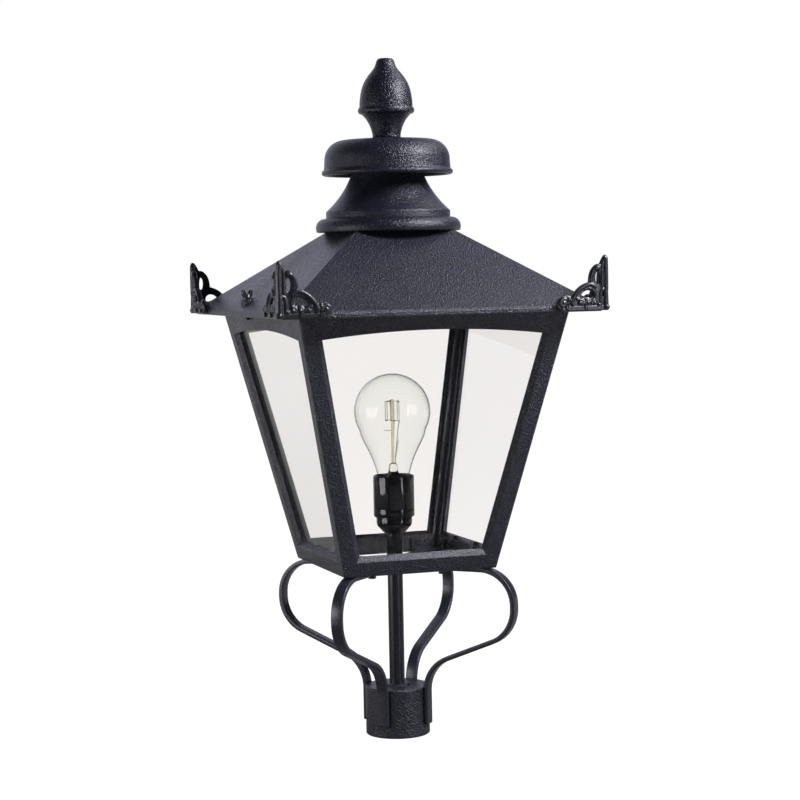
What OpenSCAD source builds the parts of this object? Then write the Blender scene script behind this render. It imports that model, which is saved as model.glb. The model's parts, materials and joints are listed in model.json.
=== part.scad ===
/* [Post socket] */
// Diameter of the post end that the socket slides over
post_d = 60; // [58:0.5:60]
// Radial clearance between the post end and the socket bore
post_gap = 0.25; // [0.2:0.05:0.3]
// Outside diameter of the socket
socket_d = 67; // [66.5:0.5:70]
// Height of the socket
socket_h = 51; // [51:1:54]
// Depth of the bore that takes the post end
post_depth = 38; // [34:1:38]
// Width of each flat-bottomed groove that takes an arm
groove_w = 17; // [14:0.5:18]
// Distance from the axis to the floor of a groove
groove_r = 32.4; // [32.4:0.1:32.8]

/* [Scroll arms] */
// Width of the flat bar of an arm
arm_w = 12; // [10:0.5:13]
// Thickness of the flat bar of an arm
arm_t = 5; // [4:0.5:5]
// Height of the lower end of an arm above the socket mouth
arm_foot_z = 12; // [8:1:16]
// Radius of the lower sweep, on the bar's middle line
arm_r3 = 38; // [30:1:40]
// Radius of the loop's lower half, on the bar's middle line
arm_r2 = 38; // [34:1:40]
// Radius of the loop's upper half, on the bar's middle line
arm_r1 = 35.5; // [32:0.5:38]
// Slope of the straight run between sweep and loop, in degrees
arm_slope = 22; // [20:1:26]
// Reach of the loop from the lamp's axis, on the bar's middle line
arm_reach = 134; // [130:1:136]

/* [Lantern body] */
// Height of the lantern's bottom edge above the socket mouth
base_z = 179.6; // [179:0.1:180]
// Half the outside width at the bottom edge
base_half = 81.7; // [80:0.1:84]
// Height of the top of the window frames
head_z = 441; // [440:0.5:442]
// Half the outside width at the top of the window frames
head_half = 140.7; // [138:0.1:142]
// Thickness of the window frames
frame_t = 10; // [9:0.5:11]
// Flat width of a frame member, before its bevel
member = 15.2; // [14:0.2:16]
// Width and depth of the bevel round a window
bevel = 5; // [3:0.5:5.5]
// Rise of the arch at the head of a window
arch_rise = 8; // [6:0.5:9]
// Thickness of the glass
glass_t = 3; // [3:0.5:3]

/* [Roof] */
// Half the outside width of the eaves
eave_half = 165; // [164:0.5:166]
// Height of the rolled eaves lip
lip_h = 6.6; // [6:0.2:7]
// Slope of the roof, in degrees
roof_slope = 35; // [34:0.5:36]
// Thickness of the roof casting
roof_t = 2.5; // [2:0.5:3]
// Height of the flat top that carries the chimney
roof_top_z = 525; // [524:0.5:526]

/* [Chimney] */
// Largest radius of the collar's round moulding
collar_r = 75.1; // [74:0.1:76]
// Radius of the collar's neck under the cap
neck_r = 38.5; // [37:0.5:39]
// Radius of the cap's rim bead
cap_r = 67.9; // [66:0.1:69]
// Height of the underside of the cap's rim
cap_z = 583; // [582:0.5:584]
// Height of the flat top of the cap
cap_top_z = 620.8; // [620:0.2:621]

/* [Lamp] */
// Radius of the round part of the bulb
bulb_r = 39.6; // [35:0.2:40]
// Height of the middle of the round part of the bulb
bulb_z = 338.5; // [336:0.5:340]
// Outside radius of the lampholder skirt
skirt_r = 21.3; // [20.8:0.1:21.5]
// Radius of the stem tube
stem_r = 8; // [8:0.5:8]

/* [Hidden] */

$fn = 96;
eps = 0.01;
iron = [0.13, 0.14, 0.16];
iron2 = [0.10, 0.105, 0.12];
zinc = [0.62, 0.63, 0.65];
brassy = [0.78, 0.62, 0.30];
slope = (head_half - base_half) / (head_z - base_z);
tilt = atan(slope);                       // lean of a side face from the vertical
edge_tilt = atan(sin(tilt));              // lean of a face's edge, within the face
face_len = (head_z - base_z) / cos(tilt); // length of a face, up its slope
roof_tan = tan(roof_slope);
bore_r = post_d / 2 + post_gap;
cavity_z = 46;                            // underside of the socket's top plate
spider_t = 4.4;
spider_z = base_z;
bolt_u = 54;                              // arm bolt's distance from the axis, on a diagonal
hinge_x = 149.5;
hinge_z = 441.8;
soffit_z = 445.3;
latch_x = -153;
screw_z = 42;                             // height of the screws that hold the arms' lower ends

// half the outside width of the lantern body at a height
function hw(z) = base_half + (z - base_z) * slope;
// half the outside width of the roof at a height
function rw(z) = 163.2 - (z - head_z - lip_h) / roof_tan;
// points along an arc
function arc(cx, cy, r, a1, a2, n) = [for (i = [0:n]) let (a = a1 + (a2 - a1) * i / n) [cx + r * cos(a), cy + r * sin(a)]];
// a smooth curve through a list of points
function crp(a, b, c, d, t) = 0.5 * ((2 * b) + (c - a) * t + (2 * a - 5 * b + 4 * c - d) * t * t + (3 * b - a - 3 * c + d) * t * t * t);
function smooth(P, n) = [for (i = [0:len(P) - 2]) for (k = [0:n - 1])
    crp(P[max(i - 1, 0)], P[i], P[i + 1], P[min(i + 2, len(P) - 1)], k / n), P[len(P) - 1]];
function rev(P) = [for (i = [len(P) - 1:-1:0]) P[i]];

// a solid of square plan, from a list of [half width, height], lowest first
module square_solid(P) {
  Q = concat(P, [for (p = rev(P)) [-p[0], p[1]]]);
  intersection() {
    rotate([90, 0, 0]) linear_extrude(height = 500, center = true) polygon(Q);
    rotate([90, 0, 90]) linear_extrude(height = 500, center = true) polygon(Q);
  }
}
// the front face's own frame: x across, y into the lantern, z up the slope
module on_face() { translate([0, -base_half, base_z]) rotate([tilt, 0, 0]) children(); }
module each_side() { for (k = [0:3]) rotate([0, 0, 90 * k]) children(); }
// a diagonal's own frame: x outwards along it
module on_diagonal(k) { rotate([0, 0, 45 + 90 * k]) children(); }
module each_diagonal() { for (k = [0:3]) on_diagonal(k) children(); }
module hexagon(af, h) { cylinder(r = af / 2 / cos(30), h = h, $fn = 6); }

// ---- socket and arms ----
module grub_place() { for (k = [0:3]) rotate([0, 0, 90 * k]) translate([0, 0, 17]) rotate([0, 90, 0]) children(); }

module post_socket() {
  color(iron) difference() {
    union() {
      translate([0, 0, 1]) cylinder(r = socket_d / 2, h = socket_h - 2);
      cylinder(r1 = socket_d / 2 - 1, r2 = socket_d / 2, h = 1);
      translate([0, 0, socket_h - 1]) cylinder(r1 = socket_d / 2, r2 = socket_d / 2 - 1, h = 1);
      translate([0, 0, socket_h - 1]) cylinder(r = 13, h = 3);
    }
    translate([0, 0, -1]) cylinder(r = bore_r, h = post_depth + 1);
    translate([0, 0, post_depth - 1]) cylinder(r = 26, h = cavity_z - post_depth + 1);
    translate([0, 0, 40]) cylinder(r = stem_r, h = 20);
    each_diagonal() translate([groove_r, -groove_w / 2, 8]) cube([20, groove_w, socket_h]);
    each_diagonal() translate([0, 0, screw_z]) rotate([0, 90, 0]) {
      cylinder(r = 2.1, h = 40);
      translate([0, 0, 20]) cylinder(r = 3.5, h = 6.4);
      translate([0, 0, 26.4]) cylinder(r1 = 3.5, r2 = 2.1, h = 1.4);
    }
    grub_place() translate([0, 0, 25]) cylinder(r = 2.5, h = 15);
  }
}
module socket_grub_screws() {
  color(zinc) grub_place() difference() {
    translate([0, 0, bore_r + 0.1]) cylinder(r = 2.5, h = 3.1);
    translate([0, 0, bore_r + 1.6]) hexagon(2.5, 3);
  }
}
module arm_socket_screws() {
  color(zinc) each_diagonal() translate([0, 0, screw_z]) rotate([0, 90, 0]) difference() {
    union() {
      translate([0, 0, 26.5]) cylinder(r1 = 3.4, r2 = 2, h = 1.4);
      translate([0, 0, 27.9]) cylinder(r = 2, h = 8.2);
    }
    translate([0, 0, 26]) hexagon(2.5, 1.6);
  }
}
// one bent flat bar, in the plane of its diagonal
arm_u = groove_r + 0.05 + arm_t / 2;               // middle line of the lower end
arm_top = base_z - arm_t / 2;                      // middle line of the upper end
arm_c1 = [arm_reach - arm_r1, arm_top - arm_r1];   // centre of the loop's upper half
arm_c2 = [arm_reach - arm_r2, arm_c1[1] - 3.5];    // centre of the loop's lower half
arm_s = [arm_c2[0] + arm_r2 * sin(arm_slope), arm_c2[1] - arm_r2 * cos(arm_slope)]; // loop's lower end
arm_e_u = arm_u + arm_r3 * (1 - sin(arm_slope));   // sweep's upper end
arm_run = (arm_s[0] - arm_e_u) / cos(arm_slope);   // length of the straight run
arm_e_z = arm_s[1] - arm_run * sin(arm_slope);
arm_c3 = [arm_u + arm_r3, arm_e_z - arm_r3 * cos(arm_slope)];
function arm_line(d) = concat(
  [[arm_u - d, arm_foot_z]],
  arc(arm_c3[0], arm_c3[1], arm_r3 + d, 180, 90 + arm_slope, 20),
  arc(arm_c2[0], arm_c2[1], arm_r2 - d, -90 + arm_slope, 0, 20),
  arc(arm_c1[0], arm_c1[1], arm_r1 - d, 0, 90, 24),
  [[47, arm_top - d]]);
module scroll_arm(k) {
  color(iron) on_diagonal(k) difference() {
    rotate([90, 0, 0]) linear_extrude(height = arm_w, center = true)
      polygon(concat(arm_line(arm_t / 2), rev(arm_line(-arm_t / 2))));
    translate([0, 0, screw_z]) rotate([0, 90, 0]) cylinder(r = 2.05, h = 36.6);
    translate([bolt_u, 0, 165]) cylinder(r = 2.08, h = 20);
  }
}
module scroll_arm_front_left() { scroll_arm(2); }
module scroll_arm_front_right() { scroll_arm(3); }
module scroll_arm_rear_left() { scroll_arm(1); }
module scroll_arm_rear_right() { scroll_arm(0); }

module arm_bolts() {
  color(zinc) each_diagonal() translate([bolt_u, 0, 0]) {
    translate([0, 0, 170.6]) hexagon(7, 2.8);
    translate([0, 0, 173.4]) cylinder(r = 2, h = 15.2);
  }
}
module arm_washers() {
  color(zinc) each_diagonal() translate([bolt_u, 0, 173.4]) difference() {
    cylinder(r = 4.5, h = 1.2);
    translate([0, 0, -1]) cylinder(r = 2.08, h = 4);
  }
}
module arm_nuts() {
  color(zinc) each_diagonal() translate([bolt_u, 0, spider_z + spider_t]) difference() {
    hexagon(7, 3.2);
    translate([0, 0, -1]) cylinder(r = 2.04, h = 8);
  }
}
// flat cross that ties the arms, the stem and the four window frames together
module base_spider() {
  color(iron) difference() {
    union() {
      translate([0, 0, spider_z]) cylinder(r = 15, h = spider_t);
      each_diagonal() translate([0, -7, spider_z]) cube([86, 14, spider_t]);
      intersection() {
        square_solid([[hw(spider_z) - frame_t / cos(tilt), spider_z], [hw(spider_z + spider_t) - frame_t / cos(tilt), spider_z + spider_t]]);
        union() for (k = [0:3]) rotate([0, 0, 90 * k]) translate([44, 44, 170]) cube([60, 60, 30]);
      }
      each_side() for (m = [0, 1]) mirror([m, 0, 0]) on_face() translate([44, frame_t, 1.4]) cube([18, 3, 12]);
    }
    translate([0, 0, 170]) cylinder(r = stem_r + 0.1, h = 30);
    each_diagonal() translate([bolt_u, 0, 165]) cylinder(r = 2.08, h = 30);
    each_side() for (m = [-1, 1]) on_face() translate([m * 53, frame_t - 1, 7.6]) rotate([-90, 0, 0]) cylinder(r = 2.1, h = 8);
  }
}
module spider_screws() {
  color(zinc) each_side() for (m = [-1, 1]) on_face() translate([m * 53, 0, 7.6]) rotate([-90, 0, 0]) {
    translate([0, 0, 4]) cylinder(r = 2, h = 9);
    difference() {
      translate([0, 0, frame_t + 3]) cylinder(r = 3.6, h = 2);
      translate([0, 0, frame_t + 4]) translate([-0.5, -5, 0]) cube([1, 10, 5]);
    }
  }
}

// ---- window frames and glass ----
side_in = member / cos(edge_tilt);   // flat member's width, measured across
arch_c = base_half + 250 * sin(tilt) - side_in;
arch_R = (arch_c * arch_c + arch_rise * arch_rise) / (2 * arch_rise);
arch_top = face_len - 14.4;          // crown of the arch, up the slope
function arch_z(x) = arch_top - arch_R + sqrt(arch_R * arch_R - x * x);
module window_opening() {
  intersection() {
    rotate([90, 0, 90]) linear_extrude(height = 500, center = true)
      polygon([[-1, member - 1], [bevel, member + bevel], [30, member + bevel], [30, 400], [-1, 400]]);
    translate([base_half - side_in, 0, 0]) rotate([0, edge_tilt, 0])
      translate([0, 0, -60]) linear_extrude(height = 460) polygon([[1, -1], [-bevel, bevel], [-bevel, 30], [-450, 30], [-450, -1]]);
    mirror([1, 0, 0]) translate([base_half - side_in, 0, 0]) rotate([0, edge_tilt, 0])
      translate([0, 0, -60]) linear_extrude(height = 460) polygon([[1, -1], [-bevel, bevel], [-bevel, 30], [-450, 30], [-450, -1]]);
    translate([0, 32, 0]) rotate([90, 0, 0]) linear_extrude(height = 40)
      polygon(concat([[-170, 0], [170, 0], [170, arch_z(170)]], [for (i = [16:-1:-16]) [i * 8, arch_z(i * 8)]], [[-170, arch_z(170)]]));
  }
}
// outline that a pane or its rebate fills, grown or shrunk by g
module pane_outline(g) {
  v1 = member - g;
  v2 = face_len - 9 + g;
  w1 = base_half + v1 * sin(tilt) - side_in + g;
  w2 = base_half + v2 * sin(tilt) - side_in + g;
  polygon([[-w1, v1], [w1, v1], [w2, v2], [-w2, v2]]);
}
module side_frame() {
  color(iron) difference() {
    intersection() {
      square_solid([[base_half - 0.8, base_z], [hw(base_z + 1), base_z + 1], [head_half, head_z]]);
      rotate([0, 0, 45]) square_solid([[hw(base_z) * sqrt(2) - 1, base_z], [head_half * sqrt(2) - 1, head_z]]);
      translate([0, 0, 100]) linear_extrude(height = 400) polygon([[0, 0], [-200, -200], [200, -200]]);
    }
    square_solid([[hw(base_z - 10) - frame_t / cos(tilt), base_z - 10], [hw(head_z + 10) - frame_t / cos(tilt), head_z + 10]]);
    on_face() window_opening();
    on_face() translate([0, 30, 0]) rotate([90, 0, 0]) linear_extrude(height = 30 - 5.7) pane_outline(0);
    for (m = [-1, 1]) {
      on_face() translate([m * 53, 3.5, 7.6]) rotate([-90, 0, 0]) cylinder(r = 2.05, h = 10);
      on_face() translate([m * 30, 4.5, 9.5]) rotate([-90, 0, 0]) cylinder(r = 1.55, h = 10);
      on_face() translate([m * 42, 4.5, face_len - 5.9]) rotate([-90, 0, 0]) cylinder(r = 1.55, h = 10);
      translate([m * 100, -head_half + 6.5, head_z - 9]) cylinder(r = 1.55, h = 20);
      translate([m * 22, -head_half + 6.5, head_z - 7]) cylinder(r = 1.55, h = 20);
    }
  }
}
module side_frame_front() { side_frame(); }
module side_frame_right() { rotate([0, 0, 90]) side_frame(); }
module side_frame_rear() { rotate([0, 0, 180]) side_frame(); }
module side_frame_left() { rotate([0, 0, 270]) side_frame(); }

module pane() {
  color([0.93, 0.92, 0.90, 0.35]) on_face() translate([0, 5.8 + glass_t, 0]) rotate([90, 0, 0]) linear_extrude(height = glass_t) pane_outline(-0.35);
}
module glass_pane_front() { pane(); }
module glass_pane_right() { rotate([0, 0, 90]) pane(); }
module glass_pane_rear() { rotate([0, 0, 180]) pane(); }
module glass_pane_left() { rotate([0, 0, 270]) pane(); }

module pane_clips() {
  color(zinc) each_side() for (m = [-1, 1]) on_face() {
    difference() {
      union() {
        translate([m * 30 - 5, frame_t, 5]) cube([10, 1.2, 14.6]);
        translate([m * 30 - 5, 5.8 + glass_t, 16.4]) cube([10, 2, 3.2]);
      }
      translate([m * 30, 5, 9.5]) rotate([-90, 0, 0]) cylinder(r = 1.6, h = 10);
    }
    difference() {
      union() {
        translate([m * 42 - 5, frame_t, face_len - 14.6]) cube([10, 1.2, 11.5]);
        translate([m * 42 - 5, 5.8 + glass_t, face_len - 14.6]) cube([10, 2, 3.2]);
      }
      translate([m * 42, 5, face_len - 5.9]) rotate([-90, 0, 0]) cylinder(r = 1.6, h = 10);
    }
  }
}
module pane_clip_screws() {
  color(zinc) each_side() for (m = [-1, 1]) for (p = [[m * 30, 9.5], [m * 42, face_len - 5.9]])
    on_face() translate([p[0], 0, p[1]]) rotate([-90, 0, 0]) {
      translate([0, 0, 5]) cylinder(r = 1.5, h = frame_t - 3.8);
      difference() {
        translate([0, 0, frame_t + 1.2]) cylinder(r = 2.8, h = 1.6);
        translate([-0.4, -4, frame_t + 2]) cube([0.8, 8, 3]);
      }
    }
}

// ---- head ring, hinge and latch ----
module head_ring() {
  color(iron) difference() {
    square_solid([[139.8, head_z], [139.8, head_z + 4]]);
    square_solid([[122, head_z - 1], [122, head_z + 5]]);
    each_side() for (x = [-100, -22, 22, 100]) translate([x, -head_half + 6.5, head_z]) {
      translate([0, 0, -1]) cylinder(r = 1.6, h = 6);
      translate([0, 0, 2.4]) cylinder(r1 = 1.6, r2 = 3.2, h = 1.6 + eps);
    }
    for (y = [-70, 70]) translate([125.5, y - 16.1, head_z + 2.5]) cube([20, 32.2, 3]);
    for (y = [-80, -60, 60, 80]) translate([133, y, head_z - 1]) cylinder(r = 1.55, h = 6);
    translate([-145, -11.1, head_z + 1]) cube([20, 22.2, 4]);
  }
}
module head_ring_screws() {
  color(zinc) each_side() for (x = [-100, -22, 22, 100]) translate([x, -head_half + 6.5, head_z]) difference() {
    union() {
      translate([0, 0, -6]) cylinder(r = 1.5, h = 8.5);
      translate([0, 0, 2.45]) cylinder(r1 = 1.5, r2 = 3.05, h = 1.5);
    }
    translate([-0.4, -4, 3.2]) cube([0.8, 8, 3]);
  }
}
module knuckle(y1, y2) { translate([hinge_x, y1, hinge_z]) rotate([-90, 0, 0]) cylinder(r = 3.2, h = y2 - y1); }
module hinge_fixed_leaves() {
  color(iron2) for (y = [-70, 70]) difference() {
    union() {
      translate([125.6, y - 16, 443.5]) cube([hinge_x - 125.6, 32, 1.5]);
      knuckle(y - 16, y - 5.5);
      knuckle(y + 5.5, y + 16);
    }
    translate([hinge_x - 4, y - 5.5, 435]) cube([10, 11, 20]);
    translate([hinge_x, y - 20, hinge_z]) rotate([-90, 0, 0]) cylinder(r = 1.6, h = 40);
    for (d = [-10, 10]) translate([133, y + d, 440]) {
      cylinder(r = 1.6, h = 8);
      translate([0, 0, 3.6]) cylinder(r1 = 1.6, r2 = 3.0, h = 1.4 + eps);
    }
  }
}
module hinge_screws() {
  color(zinc) for (y = [-80, -60, 60, 80]) translate([133, y, head_z - 4]) difference() {
    union() {
      translate([0, 0, 4.2]) cylinder(r = 1.5, h = 2.6);
      translate([0, 0, 6.65]) cylinder(r1 = 1.5, r2 = 2.85, h = 1.3);
    }
    translate([-0.35, -4, 7.3]) cube([0.7, 8, 3]);
  }
}
module hinge_pins() {
  color(zinc) for (y = [-70, 70]) translate([hinge_x, y - 16.6, hinge_z]) rotate([-90, 0, 0]) {
    cylinder(r = 1.58, h = 33.2);
    cylinder(r = 2.4, h = 0.6);
    translate([0, 0, 32.6]) cylinder(r = 2.4, h = 0.6);
  }
}
module hinge_moving_leaves() {
  color(iron2) for (y = [-70, 70]) difference() {
    union() {
      translate([hinge_x, y - 5, 443.8]) cube([4, 10, 1.5]);
      translate([153.3, y - 16, 443.8]) cube([8.2, 32, 1.5]);
      knuckle(y - 5, y + 5);
    }
    translate([hinge_x, y - 20, hinge_z]) rotate([-90, 0, 0]) cylinder(r = 1.64, h = 40);
    for (d = [-11, 11]) translate([157.4, y + d, 440]) cylinder(r = 1.55, h = 8);
  }
}
module hinge_rivets() {
  color(zinc) for (y = [-81, -59, 59, 81]) translate([157.4, y, 443.8]) {
    translate([0, 0, -1]) cylinder(r = 2.6, h = 1);
    cylinder(r = 1.5, h = 3.5);
    translate([0, 0, 3.5]) cylinder(r = 1.8, h = 0.8);
  }
}
module latch_keeper() {
  color(iron2) difference() {
    union() {
      translate([-159.5, -11, 442]) cube([34.4, 22, 3]);
      translate([latch_x, 0, 438.6]) cylinder(r = 5, h = 4);
    }
    translate([latch_x, 0, 430]) cylinder(r = 2.8, h = 20);
  }
}

// ---- stem and lampholder ----
module stem_tube() {
  color(iron2) difference() {
    translate([0, 0, 40.2]) cylinder(r = stem_r, h = 179);
    translate([0, 0, 30]) cylinder(r = 6.4, h = 200);
  }
}
module stem_lock_nut() {
  color(zinc) difference() {
    translate([0, 0, 41]) hexagon(24, 5);
    translate([0, 0, 30]) cylinder(r = stem_r + 0.02, h = 30);
  }
}
module lampholder_base() {
  color(iron2) rotate_extrude() polygon(concat(
    [[stem_r + 0.02, 210.7], [9, 210.9], [10.4, 211.6], [12.3, 213.1]],
    arc(10.1, 223.4, 8.5, -52, 0, 10),
    [[18.6, 230.3], [16.4, 230.3], [16.4, 223], [11, 220.4], [stem_r + 0.02, 220.4]]));
}
module lampholder_skirt() {
  color(iron2) rotate_extrude() polygon([[18.9, 228.6], [20.3, 228.6], [skirt_r, 229.8], [skirt_r, 270.6], [20.6, 272], [19.6, 272],
    [19.2, 271.4], [19.2, 234], [18.9, 233.4]]);
}
module lampholder_insert() {
  color([0.90, 0.89, 0.85]) difference() {
    union() {
      translate([0, 0, 223.4]) cylinder(r = 15.6, h = 7.2);
      translate([0, 0, 230.6]) cylinder(r = 18.6, h = 2.4);
    }
    translate([0, 0, 229.4]) cylinder(r = 6, h = 6);
    for (a = [0, 180]) rotate([0, 0, a]) translate([10, 0, 220]) cylinder(r = 1.6, h = 16);
  }
}
module lampholder_thread_shell() {
  color(brassy) rotate_extrude() polygon([[9, 233], [14.3, 233], [14.3, 258.5], [15.2, 259.5], [14.6, 259.9], [13.45, 258.7], [13.45, 233.9], [9, 233.9]]);
}
module lampholder_centre_contact() {
  color(brassy) union() {
    translate([0, 0, 229.4]) cylinder(r = 1.6, h = 4.2);
    translate([-3, -2.5, 233.6]) cube([8, 5, 0.8]);
    translate([0, 0, 234.4]) cylinder(r = 2.4, h = 1.4);
  }
}

// ---- bulb ----
function bulb_out(o) = concat(
  [[13.4 - o, 261.5]],
  smooth([[13.6 - o, 262], [15.6 - o, 268.5], [17.6 - o, 276], [19.8 - o, 283.5], [22.6 - o, 291], [26.3 - o, 299], [30.4 - o, 306.8], [33.6 - o, 314]], 3),
  arc(0, bulb_z, bulb_r - o, -29, 88, 26));
module bulb_glass() {
  color([0.95, 0.95, 0.88, 0.3]) rotate_extrude() polygon(concat(bulb_out(0), [[0, bulb_z + bulb_r], [0, bulb_z + bulb_r - 0.9]], rev(bulb_out(0.9))));
}
module bulb_cap() {
  color(brassy) rotate_extrude() polygon([[7.6, 238.4], [10.5, 239.4], [12.4, 242], [13.2, 243.5], [13.2, 261.4], [12.4, 261.4], [12.4, 244], [10, 240.4], [7.6, 239.4]]);
}
module bulb_cap_contact() {
  color([0.2, 0.2, 0.2]) rotate_extrude() polygon([[0, 236], [3.6, 236], [4.4, 236.8], [7.4, 238.2], [7.4, 239.6], [0, 239.6]]);
}
// glass press with the rod that carries the filament's supports
module bulb_mount() {
  color([0.9, 0.92, 0.9, 0.4]) rotate_extrude() polygon([[0, 262.2], [11.9, 262.2], [11.9, 263], [9.6, 264.6], [7.4, 267.2], [6, 271],
    [5.3, 275.5], [4.8, 280], [3.8, 284.4], [1.5, 284.4], [1.5, 345.6], [2.3, 346.6], [2.3, 350.2], [1.5, 351.2], [0, 351.2]]);
}
// straight round wire between two points
module wire(a, b, r) {
  d = b - a;
  L = norm(d);
  translate(a) rotate([0, acos(d[2] / L), atan2(d[1], d[0])]) cylinder(r = r, h = L, $fn = 32);
}
// the filament runs up and down in a cage of upright legs round the rod
fil_r = 7.4;
fil_low = 329;
fil_top = 349;
fil_gap = 26; // direction of the gap between its two ends
function turn_dir(a) = [cos(a), sin(a), 0];
function leg(i, z) = fil_r * turn_dir(fil_gap + 30 + 60 * i) + [0, 0, z];
module bulb_wires() {
  link_r = fil_r * cos(30) - 0.36;
  color(zinc) {
    for (i = [0, 5]) {
      foot = 2.65 * turn_dir(fil_gap + 30 + 60 * i);
      wire(foot + [0, 0, 284.42], foot + [0, 0, 290], 0.35);
      translate(foot + [0, 0, 290]) sphere(r = 0.5, $fn = 32);
      wire(foot + [0, 0, 290], leg(i, fil_low - 0.52), 0.35);
    }
    for (i = [0, 2, 4]) wire(2.31 * turn_dir(fil_gap + 60 + 60 * i) + [0, 0, fil_top], link_r * turn_dir(fil_gap + 60 + 60 * i) + [0, 0, fil_top], 0.25);
    for (i = [1, 3]) wire(1.51 * turn_dir(fil_gap + 60 + 60 * i) + [0, 0, fil_low], link_r * turn_dir(fil_gap + 60 + 60 * i) + [0, 0, fil_low], 0.25);
  }
}
module bulb_filament() {
  color([0.5, 0.5, 0.48]) {
    for (i = [0:5]) {
      wire(leg(i, fil_low), leg(i, fil_top), 0.3);
      translate(leg(i, fil_low)) sphere(r = 0.42, $fn = 32);
      translate(leg(i, fil_top)) sphere(r = 0.42, $fn = 32);
    }
    for (i = [0, 2, 4]) wire(leg(i, fil_top), leg(i + 1, fil_top), 0.3);
    for (i = [1, 3]) wire(leg(i, fil_low), leg(i + 1, fil_low), 0.3);
  }
}

// ---- roof ----
module roof_outer() {
  e = head_z;
  square_solid(concat(
    [[eave_half - 1.4, e]], arc(eave_half - 1.4, e + 1.4, 1.4, -60, 0, 3),
    arc(eave_half - 2.2, e + lip_h - 2.6, 2.2, 0, 75, 4),
    [[rw(e + lip_h), e + lip_h], [rw(roof_top_z), roof_top_z]]));
}
module roof_shell() {
  ins = roof_t / sin(roof_slope);
  color(iron) difference() {
    union() {
      difference() {
        roof_outer();
        square_solid([[eave_half - 3, head_z - 1], [eave_half - 3, head_z + lip_h - 0.2], [rw(head_z + lip_h) - ins, head_z + lip_h + 0.6],
          [rw(roof_top_z - roof_t) - ins, roof_top_z - roof_t]]);
      }
      translate([latch_x, 0, soffit_z + 2]) cylinder(r = 6.5, h = 458 - soffit_z - 2);
    }
    translate([0, 0, 515]) cylinder(r = 40, h = 20);
    translate([latch_x, 0, 430]) cylinder(r = 2.7, h = 40);
    translate([latch_x, 0, 458]) cylinder(r = 7, h = 10);
    for (k = [0:3]) rotate([0, 0, 90 * k]) translate([47, 0, 515]) cylinder(r = 2.1, h = 20);
    each_corner() orn_hole();
  }
}
module roof_soffit() {
  color(iron) difference() {
    square_solid([[eave_half - 3.1, soffit_z], [eave_half - 3.1, soffit_z + 2]]);
    square_solid([[124, soffit_z - 1], [124, soffit_z + 3]]);
    translate([latch_x, 0, 430]) cylinder(r = 2.7, h = 40);
    for (y = [-81, -59, 59, 81]) translate([157.4, y, 440]) cylinder(r = 1.55, h = 12);
  }
}

// ---- corner ornaments ----
orn_z = 443.5;
orn_t = 5;
orn_o = 170;      // outer face of an ornament, from the axis
orn_sz = 445.4;   // height of its screws
module wing_2d() {
  difference() {
    polygon(concat([[0, -1]], smooth([[0, 44], [0.3, 50], [2.4, 53.4], [5, 51.2], [7.2, 47.2], [8.6, 43.9]], 4),
      smooth([[8.6, 43.9], [11, 44], [14.2, 42.6], [17.6, 39], [19.6, 34.6], [20.5, 30], [20.6, 26.4]], 3),
      smooth([[20.6, 26.4], [25.6, 24.8], [29.6, 22.8], [33.4, 19.9], [36.8, 16.2], [39.6, 12.6]], 3),
      smooth([[39.6, 12.6], [42.4, 13.6], [46.4, 13.6], [51, 11.8], [54.4, 8.2], [54.8, 3.6], [52, 0], [49, -1]], 3)));
    polygon(smooth([[8.9, 24.3], [8.6, 30], [9.6, 36.2], [11.5, 37.6], [13.5, 34.4], [13.9, 29], [12.9, 24.6], [11, 23.2], [8.9, 24.3]], 3));
    polygon(smooth([[15.6, 11], [15.2, 14.2], [17.2, 17.6], [21.2, 19], [25.6, 18], [29.2, 15], [31.2, 11.6], [27.4, 10.6], [23, 11.4], [19, 10.2], [15.6, 11]], 3));
    polygon(smooth([[4.6, 11.4], [4.2, 15], [5.6, 17.4], [7, 15], [6.6, 11.4], [4.6, 11.4]], 3));
    translate([48.4, 6.6]) circle(r = 2);
    translate([36.6, 8.4]) circle(r = 1.5);
  }
}
module wing() {
  translate([-orn_o, -orn_o + orn_t, orn_z]) rotate([90, 0, 0]) linear_extrude(height = orn_t) wing_2d();
}
module orn_hole() {
  for (x = [-orn_o + 24, -orn_o + 44]) translate([x, -orn_o - 2, orn_sz]) rotate([-90, 0, 0]) cylinder(r = 1.55, h = 14);
}
module ornament() {
  color(iron2) difference() {
    union() {
      wing();
      mirror([1, -1, 0]) wing();
      translate([-orn_o - 1.2, -orn_o - 1.2, orn_z - 1]) cube([7, 7, 45]);
      translate([-orn_o + 2.3, -orn_o + 2.3, orn_z + 44]) cylinder(r1 = 3.5, r2 = 1, h = 9.3);
      translate([-orn_o - 2, -orn_o - 2, orn_z - 1]) cube([8.6, 8.6, 3.4]);
    }
    translate([-eave_half, -eave_half, orn_z - 2]) cube([30, 30, head_z + lip_h - orn_z + 2.3]);
    orn_hole();
    mirror([1, -1, 0]) orn_hole();
  }
}
module each_corner() { for (k = [0:3]) rotate([0, 0, 90 * k]) { children(); mirror([1, -1, 0]) children(); } }
module corner_ornament_front_left() { ornament(); }
module corner_ornament_front_right() { rotate([0, 0, 90]) ornament(); }
module corner_ornament_rear_right() { rotate([0, 0, 180]) ornament(); }
module corner_ornament_rear_left() { rotate([0, 0, 270]) ornament(); }
module ornament_screws() {
  color(iron2) each_corner() for (x = [-orn_o + 24, -orn_o + 44]) translate([x, -orn_o, orn_sz]) rotate([-90, 0, 0]) difference() {
    union() {
      cylinder(r = 1.5, h = 7.9);
      translate([0, 0, -1.5]) cylinder(r1 = 2, r2 = 2.6, h = 1.5);
    }
    translate([-0.35, -3, -2]) cube([0.7, 6, 1.2]);
  }
}

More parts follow.
